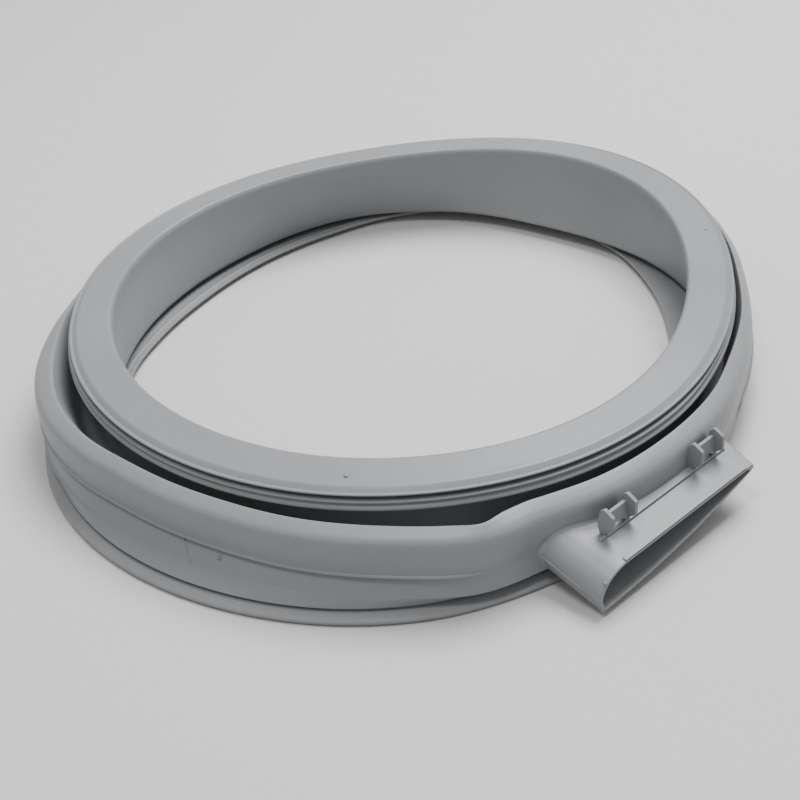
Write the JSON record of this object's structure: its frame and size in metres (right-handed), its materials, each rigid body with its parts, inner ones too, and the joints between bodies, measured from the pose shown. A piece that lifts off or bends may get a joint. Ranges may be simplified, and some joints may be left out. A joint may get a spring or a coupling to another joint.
{
  "type": "washer-dryer door seal",
  "caption": "Grey rubber door seal (bellows) for a washer-dryer: twin-lip door face, deep fold, tub flange and a flat drying-air duct with two clip lugs.",
  "frame": {"origin": "middle of the seal's footprint, on the plane of the tub flange that it lies on", "axes": "+Z from the tub flange up to the door face, along the drum's axis; +X along the air duct, out of its mouth"},
  "size_m": [0.417, 0.4128, 0.054],
  "materials": {
    "rubber": "satin grey EPDM rubber"
  },
  "bodies": {
    "root": {"door_seal": "rubber"}
  },
  "joints": []
}
